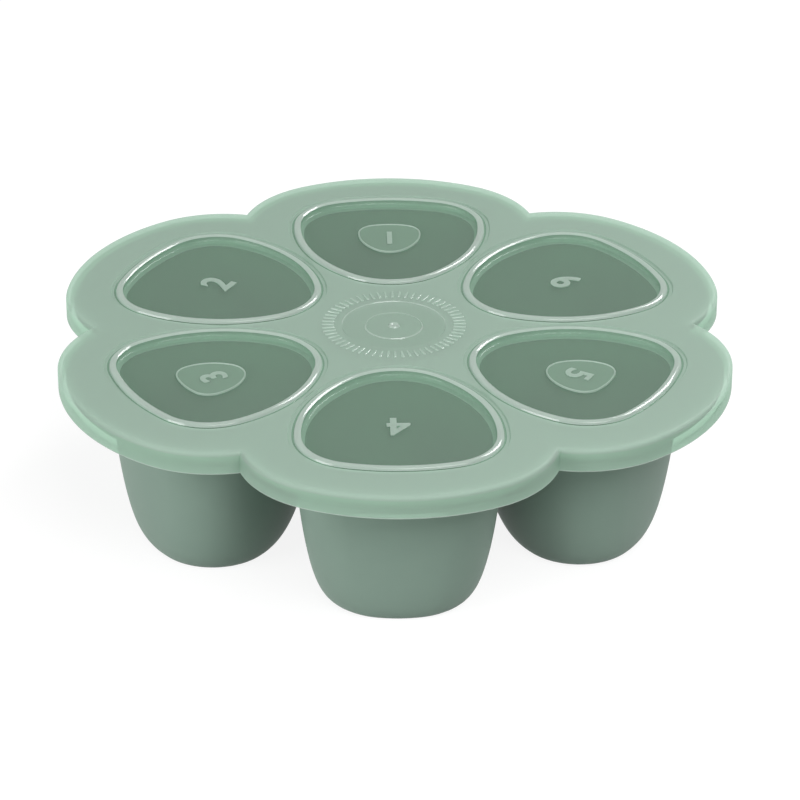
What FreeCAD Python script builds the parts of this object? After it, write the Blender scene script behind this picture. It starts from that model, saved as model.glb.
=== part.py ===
import FreeCAD, Part
import math
import os

from FreeCAD import Vector

# Six-cup freezer tray for baby food, in millimetres, +Z up.
# The origin is on the surface that the cups stand on, under the middle of the tray.
# Petal 0 points along -Y and the others follow it round the middle.

# The flower
PETALS = 6                 # cups, petals and windows round the middle
TRAY_RADIUS = 117.3        # middle of the tray to the tip of a petal's rim
TIP_ARC = 69.3             # radius of the broad arc at a petal's tip
SHOULDER_ARC = 36.2        # radius of the arc from the tip round to the notch
TIP_HALF_ANGLE = 25.8      # half of the angle that the tip arc turns through, in degrees

# The silicone tray
TRAY_HEIGHT = 59.3         # standing surface to the top of the rim
RIM_THICKNESS = 4.0        # the flat plate that joins the cups
RIM_ROUND = 1.6            # soft edge of that plate
CUP_WALL = 2.2
CUP_FLOOR = 2.4
MOUTH_ROUND = 3.0          # soft lip where the plate turns down into a cup
ROOT_ROUND = 1.2           # fillet where a cup's outside meets the plate

# The mouth of a cup is a rounded triangle, wide side outwards: a nose disc and two corner
# discs, joined by two side arcs and one outer arc that are tangent to them.
NOSE_AT = 55.9             # nose disc's centre, from the middle of the tray
NOSE_R = 22.4
CORNER_AT = 79.3           # corner discs' centres, outwards from the middle
CORNER_SPREAD = 13.4       # and to each side of the petal's axis
CORNER_R = 19.4
SIDE_R = 50.5
OUTER_R = 71.9

# The foot of a cup is the same figure, smaller and nearly round.
FOOT_NOSE_AT = 65.2
FOOT_NOSE_R = 12.8
FOOT_CORNER_AT = 73.0
FOOT_CORNER_SPREAD = 3.1
FOOT_CORNER_R = 17.4
FOOT_SIDE_R = 24.0
FOOT_OUTER_R = 34.0
WALL_SHARE = 0.41          # share of the narrowing that the straight draft takes
BELLY_POWER = 2.9          # how full the belly above the foot is, 2 being an ellipse
BELLY_TURN = 84.0          # how far the belly turns, in degrees, before it meets the flat foot

# The polypropylene lid
LID_WALL = 1.6             # its flat top
SEAT_GAP = 0.2             # between the lid's underside and the rim
SKIRT_WALL = 1.5
SKIRT_DROP = 8.2           # top face to the skirt's lower edge
RIM_CLEARANCE = 1.2        # between the skirt and the rim's edge
LID_EDGE_ROUND = 2.0       # outside, where the top turns down into the skirt
WINDOW_INSET = 1.0         # a window's edge inside the cup's mouth
WINDOW_WALL = 1.4          # the clear panel
WINDOW_SINK = 1.6          # top face down to the panel
PLUG_WALL = 1.2            # the short wall that carries the panel
PLUG_BEVEL = 0.6           # leads the plug into the cup's mouth
BEAD_WIDTH = 2.2           # raised bead round a window
BEAD_RISE = 0.5
BEAD_BEVEL = 0.45
GROOVE_WIDTH = 2.2         # shallow groove outside the bead
GROOVE_DEPTH = 0.3
LUG_WIDTH = 28.0           # snap lug inside the skirt at each petal's tip
LUG_HEIGHT = 2.2
LUG_CLEARANCE = 0.2        # between a lug and the rim's edge
MEDAL_RADIUS = 17.9        # shallow round dish in the middle of the lid
MEDAL_DEPTH = 0.4
BOSS_RADIUS = 9.6          # low raised disc inside the dish
GATE_RADIUS = 1.3          # stub of the moulding gate
GATE_RISE = 0.3

# Curved profiles are made in straight steps, fine enough to look round and light to mesh.
ROUND_STEPS = 4            # in a quarter round
BELLY_STEPS = 10           # from a cup's mouth to its foot

# Heights that follow from those
RIM_UNDERSIDE = TRAY_HEIGHT - RIM_THICKNESS
LID_UNDERSIDE = TRAY_HEIGHT + SEAT_GAP
LID_TOP = LID_UNDERSIDE + LID_WALL
SKIRT_EDGE = LID_TOP - SKIRT_DROP
PANEL_TOP = LID_TOP - WINDOW_SINK
PANEL_UNDERSIDE = PANEL_TOP - WINDOW_WALL
BEAD_TOP = LID_TOP + BEAD_RISE
LID_GROWTH = RIM_CLEARANCE + SKIRT_WALL      # the lid's outline outside the rim's

PETAL_TURN = 360.0 / PETALS
MOUTH = (NOSE_AT, NOSE_R, CORNER_AT, CORNER_SPREAD, CORNER_R, SIDE_R, OUTER_R)
FOOT = (FOOT_NOSE_AT, FOOT_NOSE_R, FOOT_CORNER_AT, FOOT_CORNER_SPREAD, FOOT_CORNER_R,
        FOOT_SIDE_R, FOOT_OUTER_R)


def polar(centre, radius, angle):
    """Point at an angle, in radians, on a circle in the XY plane."""
    return Vector(centre.x + radius * math.cos(angle), centre.y + radius * math.sin(angle), 0)


def arc(centre, radius, start, end):
    """Circular edge from one angle to the other, in radians."""
    points = [polar(centre, radius, start + (end - start) * share) for share in (0, 0.5, 1)]
    return Part.Arc(*points).toShape()


def heading(start, end):
    return math.atan2(end.y - start.y, end.x - start.x)


def turned(shape, petal):
    """Copy of a shape made on the +X axis, turned to its petal."""
    copy = shape.copy()
    copy.rotate(Vector(0, 0, 0), Vector(0, 0, 1), petal * PETAL_TURN - 90)
    return copy


def on_petals(*shapes):
    """Copies of the shapes, made on the +X axis, on every petal."""
    return [turned(shape, petal) for petal in range(PETALS) for shape in shapes]


def flower(growth, height):
    """Outline of the rim, moved outwards by growth: three tangent arcs to each petal."""
    half = math.radians(PETAL_TURN / 2)
    tip_half = math.radians(TIP_HALF_ANGLE)
    tip_centre = Vector(TRAY_RADIUS - TIP_ARC, 0, 0)
    shoulder_centre = polar(tip_centre, TIP_ARC - SHOULDER_ARC, tip_half)
    shoulder_r = SHOULDER_ARC + growth
    notch_way = Vector(math.cos(half), math.sin(half), 0)
    along = shoulder_centre.dot(notch_way)
    across = shoulder_centre.sub(notch_way * along).Length
    notch = notch_way * (along + math.sqrt(shoulder_r ** 2 - across ** 2))
    notch_angle = heading(shoulder_centre, notch)
    mirror_centre = Vector(shoulder_centre.x, -shoulder_centre.y, 0)
    edges = on_petals(
        arc(mirror_centre, shoulder_r, -notch_angle, -tip_half),
        arc(tip_centre, TIP_ARC + growth, -tip_half, tip_half),
        arc(shoulder_centre, shoulder_r, tip_half, notch_angle),
    )
    outline = Part.Wire(Part.__sortEdges__(edges))
    outline.translate(Vector(0, 0, height))
    return outline


def rounded_triangle(figure, growth, height):
    """Outline of a cup on the +X axis, moved outwards by growth: six tangent arcs."""
    nose_at, nose_r, corner_at, spread, corner_r, side_r, outer_r = figure
    nose = Vector(nose_at, 0, 0)
    corner = Vector(corner_at, spread, 0)
    outer = Vector(corner_at - math.sqrt((outer_r - corner_r) ** 2 - spread ** 2), 0, 0)
    link = corner.sub(nose)
    reach_nose = side_r - nose_r
    reach_corner = side_r - corner_r
    along = (reach_nose ** 2 - reach_corner ** 2 + link.Length ** 2) / (2 * link.Length)
    across = math.sqrt(reach_nose ** 2 - along ** 2)
    unit = link * (1 / link.Length)
    side = nose + unit * along + Vector(unit.y, -unit.x, 0) * across
    outer_end = heading(outer, corner)
    corner_end = heading(side, corner)
    side_end = heading(side, nose)
    nose_end = 2 * math.pi - side_end
    corner_low = Vector(corner.x, -corner.y, 0)
    side_low = Vector(side.x, -side.y, 0)
    outline = Part.Wire([
        arc(outer, outer_r + growth, -outer_end, outer_end),
        arc(corner, corner_r + growth, outer_end, corner_end),
        arc(side, side_r + growth, corner_end, side_end),
        arc(nose, nose_r + growth, side_end, nose_end),
        arc(side_low, side_r + growth, -side_end, -corner_end),
        arc(corner_low, corner_r + growth, -corner_end, -outer_end),
    ])
    outline.translate(Vector(0, 0, height))
    return outline


def window(growth, height):
    """Outline of a window in the lid, moved outwards by growth."""
    return rounded_triangle(MOUTH, growth - WINDOW_INSET, height)


def stack(outline, profile):
    """Solid with one outline at every level, grown as the profile of (growth, height) says."""
    return Part.makeLoft([outline(growth, height) for growth, height in profile], True, True)


def quarter_round(growth, height, radius, way):
    """Profile of a soft edge, from a flat face at the height round to an upright wall.

    The way is -1 for a wall that goes down from the face and 1 for one that goes up.
    With a negative radius, and the opposite way, the wall flares outwards into the face.
    """
    angles = [math.pi / 2 * step / ROUND_STEPS for step in range(ROUND_STEPS + 1)]
    return [(growth - radius * (1 - math.sin(angle)), height + way * radius * (1 - math.cos(angle)))
            for angle in angles]


def cup_figure(level, floor):
    """Figure of a cup at a level: the straight draft and the belly narrow it towards the floor."""
    drop = max(0, (TRAY_HEIGHT - level) / (TRAY_HEIGHT - floor))
    turn = math.radians(BELLY_TURN)
    power = 2 / BELLY_POWER
    angle = math.asin(drop ** (1 / power) * math.sin(turn))
    belly = (1 - math.cos(angle) ** power) / (1 - math.cos(turn) ** power)
    narrowed = WALL_SHARE * drop + (1 - WALL_SHARE) * belly
    return [start + (end - start) * narrowed for start, end in zip(MOUTH, FOOT)]


def cup_body(growth, top, floor, flare):
    """Cup that flares out into the flat face at its top and narrows down to its foot.

    A short neck carries it on above that face, so that it joins or cuts the rim cleanly.
    """
    profile = [(flare, top + RIM_THICKNESS / 2)] + quarter_round(0, top, -flare, 1)
    wall_top = top - flare
    turn = math.radians(BELLY_TURN)
    for step in range(1, BELLY_STEPS + 1):
        share = math.sin(turn * step / BELLY_STEPS) / math.sin(turn)
        profile.append((0, wall_top - share * (wall_top - floor)))
    sections = [rounded_triangle(cup_figure(level, floor), growth + spread, level)
                for spread, level in profile]
    return Part.makeLoft(sections, True, True)


def make_tray():
    """One silicone moulding: the rim plate and the six cups that hang from it."""
    upper_edge = quarter_round(0, TRAY_HEIGHT, RIM_ROUND, -1)
    lower_edge = quarter_round(0, RIM_UNDERSIDE, RIM_ROUND, 1)
    plate = stack(flower, upper_edge + lower_edge[::-1])
    cup = cup_body(CUP_WALL, RIM_UNDERSIDE, 0, ROOT_ROUND)
    cavity = cup_body(0, TRAY_HEIGHT, CUP_FLOOR, MOUTH_ROUND)
    return plate.fuse(on_petals(cup)).cut(on_petals(cavity))


def make_lugs():
    """Snap lugs: at each petal's tip a short stretch of the skirt is thicker inside."""
    back = RIM_CLEARANCE + SKIRT_WALL / 2
    top = SKIRT_EDGE + LUG_HEIGHT
    ring = stack(flower, [(back, top), (back, SKIRT_EDGE)])
    ring = ring.cut(stack(flower, [(LUG_CLEARANCE, top), (LUG_CLEARANCE, SKIRT_EDGE)]))
    corner = Vector(TRAY_RADIUS / 2, -LUG_WIDTH / 2, SKIRT_EDGE)
    block = Part.makeBox(TRAY_RADIUS, LUG_WIDTH, LUG_HEIGHT, corner)
    return [ring.common(part) for part in on_petals(block)]


def make_lid():
    """One polypropylene moulding: a flat flower with a skirt, six sunk windows and six lugs."""
    edge = quarter_round(LID_GROWTH, LID_TOP, LID_EDGE_ROUND, -1)
    shell = stack(flower, edge + [(LID_GROWTH, SKIRT_EDGE)])
    hollow = stack(flower, [(RIM_CLEARANCE, LID_UNDERSIDE), (RIM_CLEARANCE, SKIRT_EDGE)])
    groove_edge = BEAD_WIDTH + GROOVE_WIDTH
    groove = stack(window, [(groove_edge, LID_TOP), (groove_edge, LID_TOP - GROOVE_DEPTH)])
    dish_floor = Vector(0, 0, LID_TOP - MEDAL_DEPTH)
    dish = Part.makeCylinder(MEDAL_RADIUS, MEDAL_DEPTH, dish_floor)
    boss = Part.makeCylinder(BOSS_RADIUS, MEDAL_DEPTH, dish_floor)
    gate = Part.makeCylinder(GATE_RADIUS, MEDAL_DEPTH + GATE_RISE, dish_floor)
    bead = stack(window, [(BEAD_WIDTH - BEAD_BEVEL, BEAD_TOP), (BEAD_WIDTH, BEAD_TOP - BEAD_BEVEL),
                          (BEAD_WIDTH, LID_UNDERSIDE)])
    plug = stack(window, [(PLUG_WALL, LID_TOP), (PLUG_WALL, PANEL_UNDERSIDE + PLUG_BEVEL),
                          (PLUG_WALL - PLUG_BEVEL, PANEL_UNDERSIDE)])
    opening = stack(window, [(BEAD_BEVEL, BEAD_TOP), (0, BEAD_TOP - BEAD_BEVEL), (0, PANEL_TOP)])
    shell = shell.cut([hollow, dish] + on_petals(groove))
    shell = shell.fuse(on_petals(bead, plug) + make_lugs() + [boss, gate])
    return shell.cut(on_petals(opening)).removeSplitter()


os.makedirs("parts", exist_ok=True)
for name, shape in (("silicone_tray", make_tray()), ("lid", make_lid())):
    box = shape.BoundBox
    print(f"{name}: valid {shape.isValid()}, {len(shape.Solids)} solid, {shape.Volume / 1000:.1f} ml,"
          f" {box.XLength:.1f} x {box.YLength:.1f} x {box.ZLength:.1f} mm")
    shape.exportStep(f"parts/{name}.step")
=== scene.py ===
import math

import bmesh
import bpy
from mathutils import Matrix, Vector


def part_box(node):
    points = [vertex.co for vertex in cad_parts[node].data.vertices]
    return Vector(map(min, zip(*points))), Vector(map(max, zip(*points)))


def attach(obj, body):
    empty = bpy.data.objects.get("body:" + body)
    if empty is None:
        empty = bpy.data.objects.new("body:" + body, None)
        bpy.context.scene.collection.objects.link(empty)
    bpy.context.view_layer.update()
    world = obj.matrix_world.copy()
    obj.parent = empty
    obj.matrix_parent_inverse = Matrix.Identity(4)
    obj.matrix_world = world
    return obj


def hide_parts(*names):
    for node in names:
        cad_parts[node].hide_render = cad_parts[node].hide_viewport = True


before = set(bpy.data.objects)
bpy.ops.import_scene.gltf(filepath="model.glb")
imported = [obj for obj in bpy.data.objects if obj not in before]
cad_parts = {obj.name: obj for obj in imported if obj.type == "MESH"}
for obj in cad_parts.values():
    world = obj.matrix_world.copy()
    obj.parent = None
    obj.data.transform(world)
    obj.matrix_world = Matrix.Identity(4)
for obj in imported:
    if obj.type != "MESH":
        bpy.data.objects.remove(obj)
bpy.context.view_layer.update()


# Silicone tray. One soft moulding in liquid silicone: a flat plate in the shape of a flower, with
# a deep cup hanging from each of its six petals. All petals are alike, so one sixth of the skin is
# laid as rings of points round a cup's axis, and the six sixths are set round the middle and welded.
MM = 0.001                          # the frame is in metres, the sizes here in millimetres
PETALS = 6
HALF_PETAL = math.pi / PETALS
tray_low, tray_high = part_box("silicone_tray")
TRAY_RADIUS = -tray_low.y / MM      # middle of the tray to a petal's tip
TRAY_TOP = tray_high.z / MM
TIP_ARC = 69.3                      # radius of the wide arc at a petal's tip
SHOULDER_ARC = 36.2                 # and of the tighter arcs from there down to the notches
TIP_HALF_ANGLE = math.radians(25.8)
RIM_THICKNESS = 4.0
RIM_ROUND = 1.6
RIM_UNDERSIDE = TRAY_TOP - RIM_THICKNESS
CUP_WALL = 2.2
CUP_FLOOR = 2.4
MOUTH_ROUND = 3.0                   # from the plate's top into a cup
ROOT_ROUND = 1.2                    # from the plate's underside into a cup's outer wall
# nose disc's centre and radius, corner discs' centre, spread and radius, side arc, outer arc
MOUTH = (55.9, 22.4, 79.3, 13.4, 19.4, 50.5, 71.9)
FOOT = (65.2, 12.8, 73.0, 3.1, 17.4, 24.0, 34.0)
WALL_SHARE = 0.41                   # part of a cup's narrowing that is straight; the belly does the rest
BELLY_POWER = 2.9                   # power of the superellipse that the belly follows
BELLY_TURN = math.radians(84.0)     # how much of its quarter the belly takes
TRAY_HUB = 8.0                      # radius of the ring round the middle, where the sixths meet
TIP_POINTS = 44                     # points of a ring along a petal's tip arc
SHOULDER_POINTS = 14                # along each shoulder
EDGE_POINTS = TIP_POINTS + 2 * SHOULDER_POINTS  # along the whole edge
SIDE_POINTS = 34                    # along each border with the next petal
HUB_POINTS = 8                      # round the middle
ROUND_RINGS = 8                     # rings in a quarter round
BELLY_RINGS = 26                    # rings from a cup's lip to its foot
FLAT_MARGIN = 0.4                   # a ring this far from an edge keeps the flat face flat
SHARP_EDGE = math.radians(38)       # edges that turn more than this stay crisp
CLOSING_SHARES = (0.06, 0.35, 0.7)  # rings of a flat end, on the way from its edge to its middle
CENTRE_SHARE = 0.6                  # a figure's middle, on the way from its nose to its corners
SEARCH_STEPS = 40                   # halvings in the search for a heading
WELD = 0.002                        # points nearer than this are one
# inputs of the nodes for a piece's materials, in the order of its finishes' numbers
FINISH_NAMES = ("Finish", "Second finish", "Third finish", "Fourth finish")


def polar(centre, radius, angle):
    """Point at an angle on a circle."""
    return Vector((centre.x + radius * math.cos(angle), centre.y + radius * math.sin(angle)))


def flower_point(growth, share):
    """Point of a petal's edge moved out by growth, from one notch at share 0 to the other at 1."""
    tip_centre = Vector((TRAY_RADIUS - TIP_ARC, 0))
    shoulder_centre = polar(tip_centre, TIP_ARC - SHOULDER_ARC, TIP_HALF_ANGLE)
    radius = SHOULDER_ARC + growth
    border = Vector((math.cos(HALF_PETAL), math.sin(HALF_PETAL)))
    along = shoulder_centre.dot(border)
    across = (shoulder_centre - border * along).length
    notch = border * (along + math.sqrt(radius ** 2 - across ** 2))
    notch_angle = math.atan2(notch.y - shoulder_centre.y, notch.x - shoulder_centre.x)
    place = abs(2 * share - 1)
    tip_share = TIP_POINTS / EDGE_POINTS
    if place <= tip_share:
        point = polar(tip_centre, TIP_ARC + growth, TIP_HALF_ANGLE * place / tip_share)
    else:
        turned = (place - tip_share) / (1 - tip_share)
        point = polar(shoulder_centre, radius, TIP_HALF_ANGLE + (notch_angle - TIP_HALF_ANGLE) * turned)
    return Vector((point.x, math.copysign(point.y, 2 * share - 1)))


def triangle_point(figure, growth, heading):
    """Point of a rounded triangle moved out by growth, where its outline faces that heading."""
    nose_at, nose_r, corner_at, spread, corner_r, side_r, outer_r = figure
    nose = Vector((nose_at, 0))
    corner = Vector((corner_at, spread))
    outer = Vector((corner_at - math.sqrt((outer_r - corner_r) ** 2 - spread ** 2), 0))
    link = corner - nose
    along = ((side_r - nose_r) ** 2 - (side_r - corner_r) ** 2 + link.length_squared) / (2 * link.length)
    across = math.sqrt((side_r - nose_r) ** 2 - along ** 2)
    unit = link.normalized()
    side = nose + unit * along + Vector((unit.y, -unit.x)) * across
    outer_end, corner_end, side_end = [math.atan2(end.y - start.y, end.x - start.x) for start, end in
                                       ((outer, corner), (side, corner), (side, nose))]
    turn = math.remainder(heading, 2 * math.pi)
    if abs(turn) < outer_end:
        point = polar(outer, outer_r + growth, abs(turn))
    elif abs(turn) < corner_end:
        point = polar(corner, corner_r + growth, abs(turn))
    elif abs(turn) < side_end:
        point = polar(side, side_r + growth, abs(turn))
    else:
        point = polar(nose, nose_r + growth, abs(turn))
    return Vector((point.x, math.copysign(point.y, turn)))


def petal_edge(growth):
    """Open ring along a petal's edge, from notch to notch."""
    return [flower_point(growth, step / EDGE_POINTS) for step in range(EDGE_POINTS + 1)]


def hub_arc(radius):
    """Arc round the middle of the flower, from one border of a sixth to the other."""
    return [polar(Vector((0, 0)), radius, HALF_PETAL * (1 - 2 * step / HUB_POINTS))
            for step in range(HUB_POINTS + 1)]


def sixth_ring(growth, hub_radius):
    """Closed ring round a sixth of the flower: petal's edge, border, round the middle, border."""
    edge = petal_edge(growth)
    hub = hub_arc(hub_radius)
    sides = [[start.lerp(end, step / SIDE_POINTS) for step in range(1, SIDE_POINTS)]
             for start, end in ((edge[-1], hub[0]), (hub[-1], edge[0]))]
    return edge + sides[0] + hub + sides[1]


def headings_of(ring, figure):
    """For each point of a ring, where the rounded triangle faces on the way out to it."""
    centre = Vector((figure[0] * (1 - CENTRE_SHARE) + figure[2] * CENTRE_SHARE, 0))
    found = []
    for point in ring:
        wanted = math.atan2(point.y - centre.y, point.x - centre.x)
        low, high = (0.0, math.pi) if wanted >= 0 else (-math.pi, 0.0)
        for _ in range(SEARCH_STEPS):
            middle = (low + high) / 2
            spot = triangle_point(figure, 0, middle) - centre
            if math.atan2(spot.y, spot.x) < wanted:
                low = middle
            else:
                high = middle
        found.append((low + high) / 2)
    return found


def quarter(growth, height, radius, way):
    """Profile of a soft edge, from a flat face at the height round to an upright wall."""
    angles = [math.pi / 2 * step / ROUND_RINGS for step in range(ROUND_RINGS + 1)]
    return [(growth - radius * (1 - math.sin(angle)), height + way * radius * (1 - math.cos(angle)))
            for angle in angles]


def lay_ring(skin, outline, height):
    """Add a ring of points at one height, and give their numbers."""
    first = len(skin["points"])
    skin["points"] += [Vector((point.x, point.y, height)) * MM for point in outline]
    return list(range(first, first + len(outline)))


def join_rings(skin, ring, other, finish=0, closed=False):
    """Faces between two rings; a closed ring's last point is joined to its first."""
    pairs = list(zip(ring, other))
    if closed:
        pairs.append(pairs[0])
    for (a, b), (c, d) in zip(pairs, pairs[1:]):
        skin["faces"].append((a, c, d, b))
        skin["finishes"].append(finish)


def close_ring(skin, ring, outline, height, finish=0):
    """Shrink a ring to a flat end: rings towards its middle and a fan round the last point."""
    middle = sum(outline, Vector((0, 0))) / len(outline)
    for share in CLOSING_SHARES:
        inner = lay_ring(skin, [point.lerp(middle, share) for point in outline], height)
        join_rings(skin, ring, inner, finish, closed=True)
        ring = inner
    tip = lay_ring(skin, [middle], height)[0]
    for a, b in zip(ring, ring[1:] + ring[:1]):
        skin["faces"].append((a, b, tip))
        skin["finishes"].append(finish)


def hub_of(ring):
    """The part of a sixth's ring that runs round the middle of the flower."""
    start = EDGE_POINTS + SIDE_POINTS
    return ring[start:start + HUB_POINTS + 1]


def close_fan(skin, hub, height, finish=0):
    """Fan from an arc round the middle of the flower to its centre."""
    tip = lay_ring(skin, [Vector((0, 0))], height)[0]
    for a, b in zip(hub, hub[1:]):
        skin["faces"].append((a, b, tip))
        skin["finishes"].append(finish)


def cup_figure(level, floor):
    """Figure of a cup at a level: its draft and its belly narrow it towards the floor."""
    drop = max(0.0, (TRAY_TOP - level) / (TRAY_TOP - floor))
    power = 2 / BELLY_POWER
    angle = math.asin(min(1.0, drop ** (1 / power) * math.sin(BELLY_TURN)))
    belly = (1 - math.cos(angle) ** power) / (1 - math.cos(BELLY_TURN) ** power)
    narrowed = WALL_SHARE * drop + (1 - WALL_SHARE) * belly
    return [start + (end - start) * narrowed for start, end in zip(MOUTH, FOOT)]


def lay_cup(skin, ring, headings, growth, top, floor, flare):
    """One side of a cup's wall, from the flat face round it down to the foot, which is closed."""
    profile = [(FLAT_MARGIN + flare, top)] + quarter(0, top, -flare, 1)
    wall_top = top - flare
    for step in range(1, BELLY_RINGS + 1):
        share = math.sin(BELLY_TURN * step / BELLY_RINGS) / math.sin(BELLY_TURN)
        profile.append((0, wall_top - share * (wall_top - floor)))
    for spread, level in profile:
        figure = cup_figure(level, floor)
        outline = [triangle_point(figure, growth + spread, heading) for heading in headings]
        lower = lay_ring(skin, outline, level)
        join_rings(skin, ring, lower, closed=True)
        ring = lower
    close_ring(skin, ring, outline, floor)


def new_skin():
    """Empty skin of a piece: its points, its faces and the number of each face's finish."""
    return {"points": [], "faces": [], "finishes": []}


def add_node(tree, kind, sockets=None, **settings):
    """Add a node with its settings; sockets gives a value or a link for inputs by name or number."""
    node = tree.nodes.new(kind)
    for name, value in settings.items():
        setattr(node, name, value)
    for socket, value in (sockets or {}).items():
        if isinstance(value, bpy.types.NodeSocket):
            tree.links.new(value, node.inputs[socket])
        else:
            node.inputs[socket].default_value = value
    return node


def round_the_middle_tree():
    """Geometry nodes that set copies of a piece round the middle and weld them into one skin."""
    tree = bpy.data.node_groups.new("round_the_middle", "GeometryNodeTree")
    tree.interface.new_socket("Geometry", in_out="OUTPUT", socket_type="NodeSocketGeometry")
    for name, kind in (("Geometry", "NodeSocketGeometry"), ("Copies", "NodeSocketInt"),
                       ("First heading", "NodeSocketFloat"), ("Weld distance", "NodeSocketFloat")):
        tree.interface.new_socket(name, in_out="INPUT", socket_type=kind)
    for name in FINISH_NAMES:
        tree.interface.new_socket(name, in_out="INPUT", socket_type="NodeSocketMaterial")
    given = add_node(tree, "NodeGroupInput").outputs
    points = add_node(tree, "GeometryNodePoints", {"Count": given["Copies"]}).outputs[0]
    index = add_node(tree, "GeometryNodeInputIndex").outputs[0]
    step = add_node(tree, "ShaderNodeMath", {0: 2 * math.pi, 1: given["Copies"]},
                    operation="DIVIDE").outputs[0]
    heading = add_node(tree, "ShaderNodeMath", {0: index, 1: step, 2: given["First heading"]},
                       operation="MULTIPLY_ADD").outputs[0]
    turn = add_node(tree, "FunctionNodeAxisAngleToRotation",
                    {"Axis": (0, 0, 1), "Angle": heading}).outputs[0]
    copies = add_node(tree, "GeometryNodeInstanceOnPoints",
                      {"Points": points, "Instance": given["Geometry"], "Rotation": turn}).outputs[0]
    real = add_node(tree, "GeometryNodeRealizeInstances", {0: copies}).outputs[0]
    welded = add_node(tree, "GeometryNodeMergeByDistance",
                      {"Geometry": real, "Distance": given["Weld distance"]}).outputs[0]
    number = add_node(tree, "GeometryNodeInputNamedAttribute", {"Name": "finish"},
                      data_type="INT").outputs[0]
    done = welded
    for value, name in enumerate(FINISH_NAMES):
        chosen = add_node(tree, "FunctionNodeCompare", {2: number, 3: value}, data_type="INT",
                          operation="EQUAL").outputs[0]
        done = add_node(tree, "GeometryNodeSetMaterial",
                        {"Geometry": done, "Selection": chosen, "Material": given[name]}).outputs[0]
    add_node(tree, "NodeGroupOutput", {0: done})
    return tree


def set_round_the_middle(name, skin, copies, first_heading, finishes):
    """Make a skin a mesh, set its copies round the middle by the nodes, and keep the plain result."""
    mesh = bpy.data.meshes.new(name)
    mesh.from_pydata(skin["points"], [], skin["faces"])
    mesh.attributes.new("finish", "INT", "FACE").data.foreach_set("value", skin["finishes"])
    piece = bpy.data.objects.new(name, mesh)
    bpy.context.scene.collection.objects.link(piece)
    nodes = piece.modifiers.new("round_the_middle", "NODES")
    nodes.node_group = bpy.data.node_groups.get("round_the_middle") or round_the_middle_tree()
    given = {"Copies": copies, "First heading": first_heading, "Weld distance": WELD * MM}
    given.update(zip(FINISH_NAMES, finishes))
    for socket in nodes.node_group.interface.items_tree:
        if socket.in_out == "INPUT" and socket.name in given:
            nodes[socket.identifier] = given[socket.name]
    ready = piece.evaluated_get(bpy.context.evaluated_depsgraph_get())
    piece.data = bpy.data.meshes.new_from_object(ready)
    piece.modifiers.clear()
    outward = bmesh.new()
    outward.from_mesh(piece.data)
    bmesh.ops.recalc_face_normals(outward, faces=outward.faces)
    outward.to_mesh(piece.data)
    outward.free()
    piece.data.shade_smooth()
    piece.data.set_sharp_from_angle(angle=SHARP_EDGE)
    return piece


def linear(hex_colour):
    """Linear colour, with alpha, from an sRGB hex value."""
    parts = [int(hex_colour[place:place + 2], 16) / 255 for place in (1, 3, 5)]
    return [part / 12.92 if part <= 0.04045 else ((part + 0.055) / 1.055) ** 2.4 for part in parts] + [1]


def new_material(name):
    """Empty material, its tree and its output node."""
    material = bpy.data.materials.new(name)
    material.use_nodes = True
    material.node_tree.nodes.clear()
    return material, material.node_tree, add_node(material.node_tree, "ShaderNodeOutputMaterial")


def noise(tree, size, detail=2.0):
    """Noise on Object coordinates with features of a real size in millimetres."""
    place = add_node(tree, "ShaderNodeTexCoord").outputs["Object"]
    return add_node(tree, "ShaderNodeTexNoise",
                    {"Vector": place, "Scale": 1 / (size * MM), "Detail": detail}).outputs["Fac"]


# Liquid silicone rubber, moulded in a sandblasted tool: dull, slightly waxy, with a fine grain that
# softens every highlight, and a faint cloudiness in the green. The grain is drawn coarser than the real
# one, which is too fine to show.
SILICONE_GREEN = "#798F83"
SILICONE_PALE = "#82988B"
CLOUD_SIZE = 22.0
CLOUD_DETAIL = 3.0
BLAST_GRAIN = 0.5
BLAST_DEPTH = 0.05
silicone, tree, output = new_material("sandblasted_silicone_rubber")
cloud = noise(tree, CLOUD_SIZE, CLOUD_DETAIL)
grain = noise(tree, BLAST_GRAIN)
colour = add_node(tree, "ShaderNodeMix", {0: cloud, 6: linear(SILICONE_GREEN), 7: linear(SILICONE_PALE)},
                  data_type="RGBA").outputs[2]
dull = add_node(tree, "ShaderNodeMapRange", {"Value": cloud, "To Min": 0.52, "To Max": 0.62}).outputs[0]
bump = add_node(tree, "ShaderNodeBump",
                {"Height": grain, "Strength": 0.05, "Distance": BLAST_DEPTH * MM}).outputs[0]
skin_shader = add_node(tree, "ShaderNodeBsdfPrincipled",
                       {"Base Color": colour, "Roughness": dull, "IOR": 1.41, "Normal": bump,
                        "Subsurface Weight": 0.12, "Subsurface Radius": (1.0, 1.3, 1.1),
                        "Subsurface Scale": 1.5 * MM})
tree.links.new(skin_shader.outputs[0], output.inputs[0])

# The plate's top with the insides of the cups, then its underside with their outsides. Each side takes
# half of the plate's rounded edge, and a last band of faces joins the two halves.
skin = new_skin()
for height, way, cup in ((TRAY_TOP, -1, (0, TRAY_TOP, CUP_FLOOR, MOUTH_ROUND)),
                         (RIM_UNDERSIDE, 1, (CUP_WALL, RIM_UNDERSIDE, 0, ROOT_ROUND))):
    outline = sixth_ring(-RIM_ROUND - FLAT_MARGIN, TRAY_HUB)
    ring = lay_ring(skin, outline, height)
    close_fan(skin, hub_of(ring), height)
    lay_cup(skin, ring, headings_of(outline, MOUTH), *cup)
    edge = ring[:EDGE_POINTS + 1]
    for growth, level in quarter(0, height, RIM_ROUND, way):
        lower = lay_ring(skin, petal_edge(growth), level)
        join_rings(skin, edge, lower)
        edge = lower
    if way == -1:
        upper_edge = edge
join_rings(skin, upper_edge, edge)
tray = set_round_the_middle("tray_skin", skin, PETALS, -math.pi / 2, [silicone])
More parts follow.
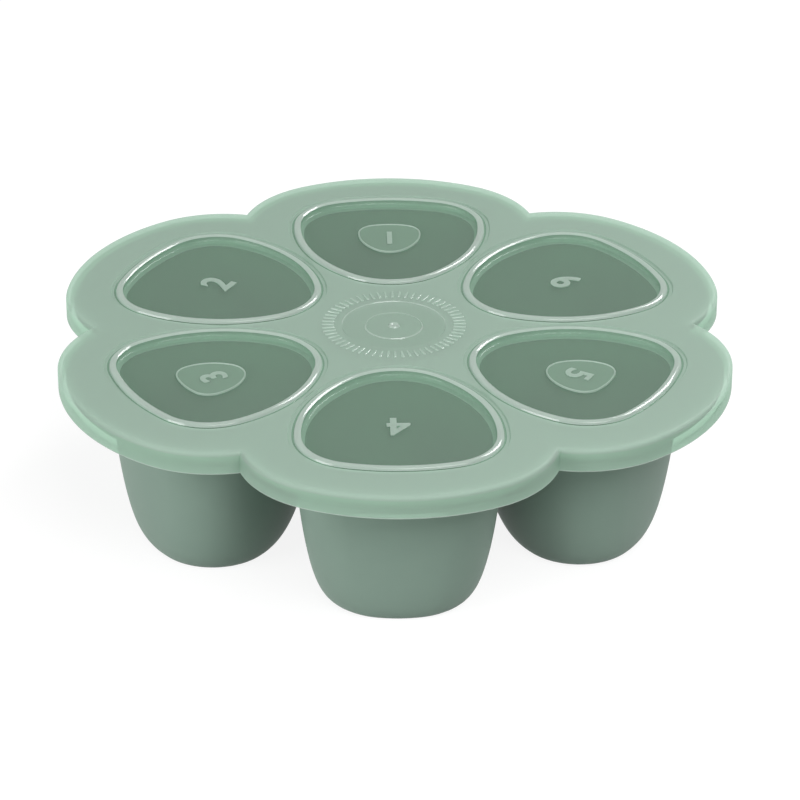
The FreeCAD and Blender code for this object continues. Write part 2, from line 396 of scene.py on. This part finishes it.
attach(tray, "tray")
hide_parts("silicone_tray")


# Lid. One moulding in translucent polypropylene: a flat flower whose skirt closes over the tray's rim,
# with lugs inside that snap under it, and a sunk window over each cup. The tool is spark-eroded, which
# frosts the plastic, and polished at the windows, their beads and the inside of the skirt.
lid_low, lid_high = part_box("lid")
LID_GROWTH = -lid_low.y / MM - TRAY_RADIUS      # outer face of the skirt, from the rim's edge
SKIRT_EDGE = lid_low.z / MM         # height of the skirt's foot
BEAD_RISE = 0.5                     # of the bead round a window, over the lid's face
BEAD_TOP = lid_high.z / MM
LID_TOP = BEAD_TOP - BEAD_RISE
LID_WALL = 1.6
LID_UNDERSIDE = LID_TOP - LID_WALL
LID_EDGE_ROUND = 1.5
SKIRT_WALL = 1.5
SKIRT_ROUND = 0.6
RIM_CLEARANCE = LID_GROWTH - SKIRT_WALL         # inner face of the skirt, from the rim's edge
LID_HUB = 22.0                      # radius of the ring round the middle, where the lid's sixths meet
WINDOW_INSET = 1.0                  # edge of a window, inside the edge of the cup's mouth
WINDOW_SINK = 1.6                   # depth of the clear panel below the lid's face
WINDOW_WALL = 1.4
PANEL_TOP = LID_TOP - WINDOW_SINK
PANEL_UNDERSIDE = PANEL_TOP - WINDOW_WALL
PLUG_WALL = 1.2                     # short wall round a window that goes into the cup's mouth
PLUG_ROUND = 0.6
BEAD_WIDTH = 2.2
BEAD_CROWN = 0.38                   # how far the bead's rounded top stands over its shoulders
BEAD_FOOT = 0.3                     # how far the bead's outer side spreads at the groove's floor
BEAD_SPREAD = 0.075                 # and at the lid's face
BEAD_SHADE_WIDTH = 0.6                    # clear strip along the foot of the bead, whose see-through darkness is painted shade
CROWN_RINGS = 10
GROOVE_WIDTH = 2.2                  # shallow groove outside the bead
GROOVE_DEPTH = 0.55
GROOVE_SLOPE = 0.3
PANEL_FILLET = 1.2
LUG_WIDTH = 28.0
LUG_HEIGHT = 2.2
LUG_CLEARANCE = 0.2                 # between a lug and the rim's edge
LUG_SLOPE = 1.2
MEDAL_RADIUS = 17.9                 # shallow round dish in the middle of the lid
MEDAL_DEPTH = 0.6
MEDAL_STEP = 0.25                   # slope of the dish's edge, and size of the fine ring in the dish
BOSS_RADIUS = 9.6                   # inner edge of that ring's top
GATE_RADIUS = 2.0                   # stub where the plastic was let into the tool
GATE_TOP_RADIUS = 1.6
GATE_PIT_RADIUS = 1.0               # pit in the stub, where the gate broke off
GATE_PIT_FLOOR = 0.6                # radius of its floor
GATE_RISE = 0.6
FROSTED = 0                         # numbers of the lid's finishes
POLISHED = 1
CLEAR = 2
TINTED = 3


def lay_window(skin, ring, headings, profile):
    """Rings of a window along a profile of (growth, height, finish); its last one is closed."""
    for growth, height, finish in profile:
        outline = [triangle_point(MOUTH, growth - WINDOW_INSET, heading) for heading in headings]
        inner = lay_ring(skin, outline, height)
        join_rings(skin, ring, inner, finish, closed=True)
        ring = inner
    close_ring(skin, ring, outline, height, finish)


def polypropylene(name, colour, clear_share, roughness, gloss_share=0.0, grain_depth=0.0):
    """Milky plastic: a share of the light goes straight through, and the milk scatters the rest."""
    material, tree, output = new_material(name)
    milk = add_node(tree, "ShaderNodeBsdfPrincipled",
                    {"Base Color": linear(colour), "Roughness": roughness, "IOR": PLASTIC_IOR})
    if grain_depth:
        bump = add_node(tree, "ShaderNodeBump", {"Height": noise(tree, GRAIN_SIZE),
                                                 "Strength": GRAIN_STRENGTH, "Distance": grain_depth * MM})
        tree.links.new(bump.outputs[0], milk.inputs["Normal"])
    glow = add_node(tree, "ShaderNodeBsdfTranslucent", {"Color": linear(colour)}).outputs[0]
    body = add_node(tree, "ShaderNodeMixShader", {0: GLOW_SHARE, 1: milk.outputs[0], 2: glow}).outputs[0]
    through = add_node(tree, "ShaderNodeBsdfTransparent", {"Color": linear(PLASTIC_TINT)}).outputs[0]
    whole = add_node(tree, "ShaderNodeMixShader", {0: clear_share, 1: body, 2: through}).outputs[0]
    edge_on = add_node(tree, "ShaderNodeFresnel", {"IOR": PLASTIC_IOR}).outputs[0]
    inside = add_node(tree, "ShaderNodeNewGeometry").outputs["Backfacing"]
    outside = add_node(tree, "ShaderNodeMath", {0: gloss_share, 1: inside}, operation="SUBTRACT",
                       use_clamp=True).outputs[0]
    mirrored = add_node(tree, "ShaderNodeMath", {0: edge_on, 1: outside}, operation="MULTIPLY").outputs[0]
    gloss = add_node(tree, "ShaderNodeBsdfGlossy", {"Roughness": roughness}).outputs[0]
    coated = add_node(tree, "ShaderNodeMixShader", {0: mirrored, 1: whole, 2: gloss}).outputs[0]
    tree.links.new(coated, output.inputs[0])
    return material


# Polypropylene with a faint green milk in it. The spark-eroded tool face leaves it frosted: dull and
# milky, so the tray's rim is only a darker band behind the skirt, whose upright wall is greener because
# the eye looks along more plastic there. The polished beads round the windows are glossy and take crisp
# streaks of light, and the thin polished panels let the eye into the cups. The tool's grain is drawn
# coarser than the real one, which is too fine to show.
GRAIN_SIZE = 0.35
GRAIN_DEPTH = 0.04
GRAIN_STRENGTH = 0.12
PLASTIC_IOR = 1.49
GLOW_SHARE = 0.45                   # part of the milk that glows with the light from its far side
MILK_GREEN = "#D2DDD7"
PLASTIC_TINT = "#D2ECDC"
SKIRT_GREEN = "#CADFD2"
frosted = polypropylene("frosted_polypropylene", MILK_GREEN, clear_share=0.46, roughness=0.48,
                        grain_depth=GRAIN_DEPTH)
glossy = polypropylene("polished_polypropylene_rim", MILK_GREEN, clear_share=0.27, roughness=0.08,
                       gloss_share=0.8)
clear = polypropylene("polished_clear_polypropylene", MILK_GREEN, clear_share=0.77, roughness=0.12,
                      gloss_share=0.15)
tinted = polypropylene("frosted_polypropylene_skirt", SKIRT_GREEN, clear_share=0.46, roughness=0.4,
                       gloss_share=0.1, grain_depth=GRAIN_DEPTH)

# Top of the lid, inwards to a window: the groove, the bead's steep foot and round crown, and the panel
# below it. Each place has its growth, its height and the finish of the faces that lead to it.
skin = new_skin()
outline = sixth_ring(LID_GROWTH - LID_EDGE_ROUND - FLAT_MARGIN, LID_HUB)
ring = lay_ring(skin, outline, LID_TOP)
groove_edge = BEAD_WIDTH + GROOVE_WIDTH
groove_floor = LID_TOP - GROOVE_DEPTH
top_profile = [(groove_edge + FLAT_MARGIN, LID_TOP, FROSTED), (groove_edge, LID_TOP, FROSTED),
               (groove_edge - GROOVE_SLOPE, groove_floor, FROSTED),
               (BEAD_WIDTH + BEAD_FOOT + BEAD_SHADE_WIDTH, groove_floor, FROSTED),
               # The clear strip along the bead's foot lets the dark below show through: it is painted
               # shade, standing in for the bead's shadow in the groove.
               (BEAD_WIDTH + BEAD_FOOT, groove_floor, CLEAR),
               (BEAD_WIDTH + BEAD_SPREAD, LID_TOP, POLISHED)]
for step in range(CROWN_RINGS + 1):
    across = 1 - 2 * step / CROWN_RINGS
    top_profile.append((BEAD_WIDTH * (1 + across) / 2, BEAD_TOP - BEAD_CROWN * across ** 2, POLISHED))
top_profile += [(growth, level, CLEAR) for growth, level in
                quarter(0, PANEL_TOP, PANEL_FILLET, 1)[::-1]]
top_profile.append((-PANEL_FILLET - FLAT_MARGIN, PANEL_TOP, CLEAR))
lay_window(skin, ring, headings_of(outline, MOUTH), top_profile)

# Dish in the middle, inwards: radius, rise over the lid's face, and finish.
hub = hub_of(ring)
gate_top = GATE_RISE - MEDAL_DEPTH
medal_profile = [(MEDAL_RADIUS + FLAT_MARGIN, 0, FROSTED), (MEDAL_RADIUS, 0, FROSTED),
                 (MEDAL_RADIUS - MEDAL_STEP, -MEDAL_STEP, POLISHED),
                 (BOSS_RADIUS + 2 * MEDAL_STEP, -MEDAL_DEPTH, FROSTED),
                 (BOSS_RADIUS + MEDAL_STEP, MEDAL_STEP - MEDAL_DEPTH, POLISHED),
                 (BOSS_RADIUS, MEDAL_STEP - MEDAL_DEPTH, POLISHED),
                 (BOSS_RADIUS - MEDAL_STEP, -MEDAL_DEPTH, FROSTED),
                 (GATE_RADIUS + FLAT_MARGIN, -MEDAL_DEPTH, FROSTED), (GATE_RADIUS, -MEDAL_DEPTH, FROSTED),
                 (GATE_TOP_RADIUS, gate_top, POLISHED), (GATE_PIT_RADIUS, gate_top, POLISHED),
                 (GATE_PIT_FLOOR, gate_top - MEDAL_STEP, POLISHED)]
for radius, rise, finish in medal_profile:
    inner = lay_ring(skin, hub_arc(radius), LID_TOP + rise)
    join_rings(skin, hub, inner, finish)
    hub = inner
close_fan(skin, hub, LID_TOP + rise, POLISHED)

# Outside of the skirt, downwards to its foot.
edge = ring[:EDGE_POINTS + 1]
skirt = [(growth, level, FROSTED) for growth, level in quarter(LID_GROWTH, LID_TOP, LID_EDGE_ROUND, -1)]
skirt += [(growth, level, finish) for (growth, level), finish in
          zip(quarter(LID_GROWTH, SKIRT_EDGE, SKIRT_ROUND, 1)[::-1], [TINTED] + [POLISHED] * ROUND_RINGS)]
for growth, level, finish in skirt:
    lower = lay_ring(skin, petal_edge(growth), level)
    join_rings(skin, edge, lower, finish)
    edge = lower

# Inside of the skirt, upwards: growth at a lug, growth beside it, height and finish. The foot of the
# skirt is polished where a lug thickens it, and frosted beside that.
lug_top = SKIRT_EDGE + LUG_HEIGHT
places = [step / EDGE_POINTS for step in range(EDGE_POINTS + 1)]
beyond = [abs(flower_point(0, place).y) > LUG_WIDTH / 2 for place in places]
foot = [FROSTED if out and after else POLISHED for out, after in zip(beyond, beyond[1:])]
for at_lug, beside, level, finish in (
        (LUG_CLEARANCE + SKIRT_ROUND, RIM_CLEARANCE + SKIRT_ROUND, SKIRT_EDGE, FROSTED),
        (LUG_CLEARANCE, RIM_CLEARANCE, SKIRT_EDGE + SKIRT_ROUND, FROSTED),
        (LUG_CLEARANCE, RIM_CLEARANCE, lug_top - LUG_SLOPE, FROSTED),
        (RIM_CLEARANCE, RIM_CLEARANCE, lug_top, FROSTED),
        (RIM_CLEARANCE, RIM_CLEARANCE, LID_UNDERSIDE, CLEAR)):
    inner = [flower_point(beside if out else at_lug, place) for out, place in zip(beyond, places)]
    upper = lay_ring(skin, inner, level)
    join_rings(skin, edge, upper, finish)
    if level <= SKIRT_EDGE + SKIRT_ROUND:
        skin["finishes"][-len(foot):] = foot
    edge = upper

# Underside of the lid, with the plug wall round each window and the back of its panel.
outline = sixth_ring(RIM_CLEARANCE - FLAT_MARGIN, LID_HUB)
ring = lay_ring(skin, outline, LID_UNDERSIDE)
join_rings(skin, edge, ring[:len(edge)])
under_medal = lay_ring(skin, hub_arc(MEDAL_RADIUS), LID_UNDERSIDE)
join_rings(skin, hub_of(ring), under_medal)
close_fan(skin, under_medal, LID_UNDERSIDE, CLEAR)
plug_round = [(growth, level, POLISHED) for growth, level in
              quarter(PLUG_WALL, PANEL_UNDERSIDE, PLUG_ROUND, 1)[::-1]]
under_profile = [(PLUG_WALL + FLAT_MARGIN, LID_UNDERSIDE, FROSTED), (PLUG_WALL, LID_UNDERSIDE, FROSTED)]
under_profile += plug_round + [(-PANEL_FILLET, PANEL_UNDERSIDE, POLISHED),
                               (-PANEL_FILLET - FLAT_MARGIN, PANEL_UNDERSIDE, CLEAR)]
lay_window(skin, ring, headings_of(outline, MOUTH), under_profile)
lid = set_round_the_middle("lid_skin", skin, PETALS, -math.pi / 2, [frosted, glossy, clear, tinted])
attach(lid, "lid")
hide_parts("lid")


# Ring of bars. A plain ornament raised from the lid's face round the gate: sixty small bars, like the
# minutes round a dial, moulded with the lid. They are frosted as the face is, with polished edges.
BARS = 60
BAR_MIDDLE = 22.6                   # radius of the ring, at the middle of its bars
BAR_LENGTH = 4.4
BAR_WIDTH = 0.9
BAR_RISE = 0.35
BAR_ROUND = 0.28
BAR_POINTS = 16
ROOT_DEPTH = 0.1                    # how far a raised mark goes into the face that carries it


def raised_mark(outline_at, profile):
    """Skin of a low relief: its outline at each growth and height of the profile, closed at both ends."""
    skin = new_skin()
    ring = None
    for growth, level, finish in profile:
        outline = outline_at(growth)
        upper = lay_ring(skin, outline, level)
        if ring:
            join_rings(skin, ring, upper, finish, closed=True)
        else:
            close_ring(skin, upper, outline, level)
        ring = upper
    close_ring(skin, ring, outline, level)
    return skin


def bar_outline(growth):
    """Outline of one bar, round at both ends, moved out by growth."""
    outline = []
    for step in range(BAR_POINTS):
        heading = 2 * math.pi * (step + 0.5) / BAR_POINTS
        end = math.copysign((BAR_LENGTH - BAR_WIDTH) / 2, math.cos(heading))
        outline.append(polar(Vector((BAR_MIDDLE + end, 0)), BAR_WIDTH / 2 + growth, heading))
    return outline


bar_profile = [(0, LID_TOP - ROOT_DEPTH, POLISHED)]
bar_profile += [(growth, level, POLISHED) for growth, level in
                quarter(0, LID_TOP + BAR_RISE, BAR_ROUND, -1)[::-1]]
skin = raised_mark(bar_outline, bar_profile)
bars = set_round_the_middle("ring_of_bars", skin, BARS, 0, [frosted, glossy])
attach(bars, "lid")


# Plaques. In every other window a thin plate, shaped as the window is, stands up from the clear panel
# inside a thin lip. It is part of the lid's moulding, and the tool is spark-eroded there.
MARK_MIDDLE = 70.6                  # how far the middle of a plaque or number is from the lid's middle
PLAQUE_SHARE = 0.341                # size of the plaque over that of the window's figure
PLAQUE_RISE = 0.3
PLAQUE_POINTS = 96
LIP_RISE = 0.25
LIP_WIDTH = 0.55
LIP_SLOPE = 0.11                    # width of each sloping side of the lip
PLATE = 0                           # numbers of the plaque's finishes
LIP = 1
plaque_figure = [length * PLAQUE_SHARE for length in MOUTH]
figure_ends = [triangle_point(plaque_figure, 0, heading).x for heading in (0, math.pi)]
plaque_shift = MARK_MIDDLE - sum(figure_ends) / 2
plaque_figure[0] += plaque_shift
plaque_figure[2] += plaque_shift


def plaque_outline(growth):
    """Outline of the plaque, moved out by growth."""
    return [triangle_point(plaque_figure, growth, 2 * math.pi * step / PLAQUE_POINTS)
            for step in range(PLAQUE_POINTS)]


# The lid's own polypropylene, spark-eroded more finely than the face: the plate only dims what lies
# behind it, and the lip and the numbers, eroded deeper than the plate, stand out as a pale milkiness.
FINE_DEPTH = 0.02
etched = polypropylene("spark_eroded_plaque", MILK_GREEN, clear_share=0.66, roughness=0.4,
                       grain_depth=FINE_DEPTH)
milky = polypropylene("spark_eroded_number", MILK_GREEN, clear_share=0.36, roughness=0.45,
                      grain_depth=FINE_DEPTH)

plaque_top = PANEL_TOP + PLAQUE_RISE
lip_top = plaque_top + LIP_RISE
plaque_profile = [(0, PANEL_TOP - ROOT_DEPTH, LIP), (0, plaque_top, LIP), (-LIP_SLOPE, lip_top, LIP),
                  (LIP_SLOPE - LIP_WIDTH, lip_top, LIP), (-LIP_WIDTH, plaque_top, LIP),
                  (-LIP_WIDTH - FLAT_MARGIN, plaque_top, PLATE)]
skin = raised_mark(plaque_outline, plaque_profile)
plaques = set_round_the_middle("plaques", skin, PETALS // 2, math.pi / 2, [etched, milky])
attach(plaques, "lid")


# Numbers. One plain number for each cup, one to six, moulded with the lid. Each is raised a little from
# the clear panel or from its plaque, spark-eroded so that it stands out, with its top pointing outwards.
FRONT_NUMBER = 4                    # they count up anticlockwise, from 1 at the back
NUMBER_HEIGHT = 11.4
PLAQUE_NUMBER_HEIGHT = 9.5
NUMBER_RISE = 0.3
NUMBER_WEIGHT = 0.02                # how much the strokes are thickened, over the letter's size
joined = bmesh.new()
for place in range(PETALS):
    on_plaque = place % 2 == 1
    letter = bpy.data.curves.new("number", "FONT")
    letter.body = str((place + FRONT_NUMBER - 1) % PETALS + 1)
    letter.offset = NUMBER_WEIGHT
    letter.extrude = (NUMBER_RISE + ROOT_DEPTH) / 2 * MM
    holder = bpy.data.objects.new("number", letter)
    bpy.context.scene.collection.objects.link(holder)
    flat = bpy.data.meshes.new_from_object(holder.evaluated_get(bpy.context.evaluated_depsgraph_get()))
    bpy.data.objects.remove(holder)
    low = [min(point.co[axis] for point in flat.vertices) for axis in range(2)]
    high = [max(point.co[axis] for point in flat.vertices) for axis in range(2)]
    middle = [(start + end) / 2 for start, end in zip(low, high)]
    size = (PLAQUE_NUMBER_HEIGHT if on_plaque else NUMBER_HEIGHT) * MM / (high[1] - low[1])
    level = (plaque_top if on_plaque else PANEL_TOP) + (NUMBER_RISE - ROOT_DEPTH) / 2
    heading = -math.pi / 2 + place * 2 * HALF_PETAL
    flat.transform(Matrix.Rotation(heading - math.pi / 2, 4, "Z")
                   @ Matrix.Translation((0, MARK_MIDDLE * MM, level * MM))
                   @ Matrix.Diagonal((size, size, 1, 1))
                   @ Matrix.Translation((-middle[0], -middle[1], 0)))
    joined.from_mesh(flat)
bmesh.ops.remove_doubles(joined, verts=joined.verts, dist=WELD * MM)
bmesh.ops.recalc_face_normals(joined, faces=joined.faces)
numbers_mesh = bpy.data.meshes.new("cup_numbers")
joined.to_mesh(numbers_mesh)
joined.free()
numbers_mesh.materials.append(milky)
numbers = bpy.data.objects.new("cup_numbers", numbers_mesh)
bpy.context.scene.collection.objects.link(numbers)
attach(numbers, "lid")


# Studio. A white table that runs out of sight, and soft light from the left, from above the front and
# from behind. What is seen straight or in a reflection is white; the light that it gives is weaker.
FLOOR_HALF = 15.0                   # metres, from its middle to its edge
FLOOR_LEVEL = -0.1 * MM
FLOOR_GLOW = 0.88                   # how bright the table is by itself where it is seen
LAMP_AIM = Vector((0, 0, 0.04))     # the lamps point here, in metres


def seen_rays(tree):
    """1 for rays by which the eye sees, also in gloss or through clear plastic, 0 for those that light."""
    path = add_node(tree, "ShaderNodeLightPath").outputs
    mirrored = add_node(tree, "ShaderNodeMath", {0: path["Is Camera Ray"], 1: path["Is Glossy Ray"]},
                        operation="MAXIMUM").outputs[0]
    return add_node(tree, "ShaderNodeMath", {0: mirrored, 1: path["Is Transmission Ray"]},
                    operation="MAXIMUM").outputs[0]


floor_mesh = bpy.data.meshes.new("table")
corners = [(x * FLOOR_HALF, y * FLOOR_HALF, FLOOR_LEVEL) for x, y in ((-1, -1), (1, -1), (1, 1), (-1, 1))]
floor_mesh.from_pydata(corners, [], [(0, 1, 2, 3)])
floor = bpy.data.objects.new("table", floor_mesh)
bpy.context.scene.collection.objects.link(floor)
# White paper: it has no gloss and no grain of its own, so only a soft shadow of the tray lies on it.
paper, tree, output = new_material("white_paper")
seen = seen_rays(tree)
lit_part = add_node(tree, "ShaderNodeMapRange", {"Value": seen, "To Min": 0.45, "To Max": 0.16}).outputs[0]
lit = add_node(tree, "ShaderNodeBsdfDiffuse", {"Color": lit_part}).outputs[0]
glow_part = add_node(tree, "ShaderNodeMath", {0: seen, 1: FLOOR_GLOW}, operation="MULTIPLY").outputs[0]
glow = add_node(tree, "ShaderNodeEmission", {"Strength": glow_part}).outputs[0]
both = add_node(tree, "ShaderNodeAddShader", {0: lit, 1: glow}).outputs[0]
tree.links.new(both, output.inputs[0])
floor.data.materials.append(paper)

world = bpy.data.worlds.new("studio")
world.use_nodes = True
world.node_tree.nodes.clear()
tree = world.node_tree
strength = add_node(tree, "ShaderNodeMapRange",
                    {"Value": seen_rays(tree), "To Min": 0.25, "To Max": 1.0}).outputs[0]
backdrop = add_node(tree, "ShaderNodeBackground", {"Strength": strength}).outputs[0]
add_node(tree, "ShaderNodeOutputWorld", {0: backdrop})
bpy.context.scene.world = world

# name, place in metres, size, power in watts
for name, place, size, power in (("key_softbox", (-1.4, -0.8, 0.5), 0.9, 17.5),
                                 ("top_softbox", (0.35, -0.75, 1.05), 0.9, 15.5),
                                 ("back_softbox", (0.7, 1.0, 1.1), 0.6, 13.0)):
    light = bpy.data.lights.new(name, "AREA")
    light.size = size
    light.energy = power
    lamp = bpy.data.objects.new(name, light)
    bpy.context.scene.collection.objects.link(lamp)
    lamp.location = place
    lamp.rotation_euler = (LAMP_AIM - Vector(place)).to_track_quat("-Z", "Y").to_euler()


# Camera. It stands back from the table and looks down at the tray as a cook does, through a long lens,
# so that the near and the far cups keep almost the same size.
FOCAL_PIXELS = 3833.85              # for a frame 800 pixels wide
FRAME_PIXELS = 800
CAMERA_DISTANCE = 1316.5            # millimetres
CAMERA_REACH = 100                  # metres
ELEVATION = math.radians(27.34)
YAW = math.radians(-1.371)
ROLL = math.radians(0.235)
TARGET = Vector((0, 0, SKIRT_EDGE))
TARGET_PIXEL = (393.77, 345.60)     # where the target is in the frame
back = Vector((math.sin(YAW) * math.cos(ELEVATION), -math.cos(YAW) * math.cos(ELEVATION),
               math.sin(ELEVATION)))
right = Vector((math.cos(YAW), math.sin(YAW), 0))
up = back.cross(right)
right, up = right * math.cos(ROLL) + up * math.sin(ROLL), up * math.cos(ROLL) - right * math.sin(ROLL)
place = (TARGET + back * CAMERA_DISTANCE) * MM
towards = (-back * FOCAL_PIXELS + right * (FRAME_PIXELS / 2 - TARGET_PIXEL[0])
           - up * (FRAME_PIXELS / 2 - TARGET_PIXEL[1])).normalized()
right = (right - towards * right.dot(towards)).normalized()
up = right.cross(towards)
camera_data = bpy.data.cameras.new("camera")
camera_data.lens = FOCAL_PIXELS / FRAME_PIXELS * camera_data.sensor_width
camera_data.clip_end = CAMERA_REACH
camera = bpy.data.objects.new("camera", camera_data)
bpy.context.scene.collection.objects.link(camera)
camera.matrix_world = Matrix.Translation(place) @ Matrix((right, up, -towards)).transposed().to_4x4()
bpy.context.scene.camera = camera
bpy.context.scene.view_settings.view_transform = "Standard"
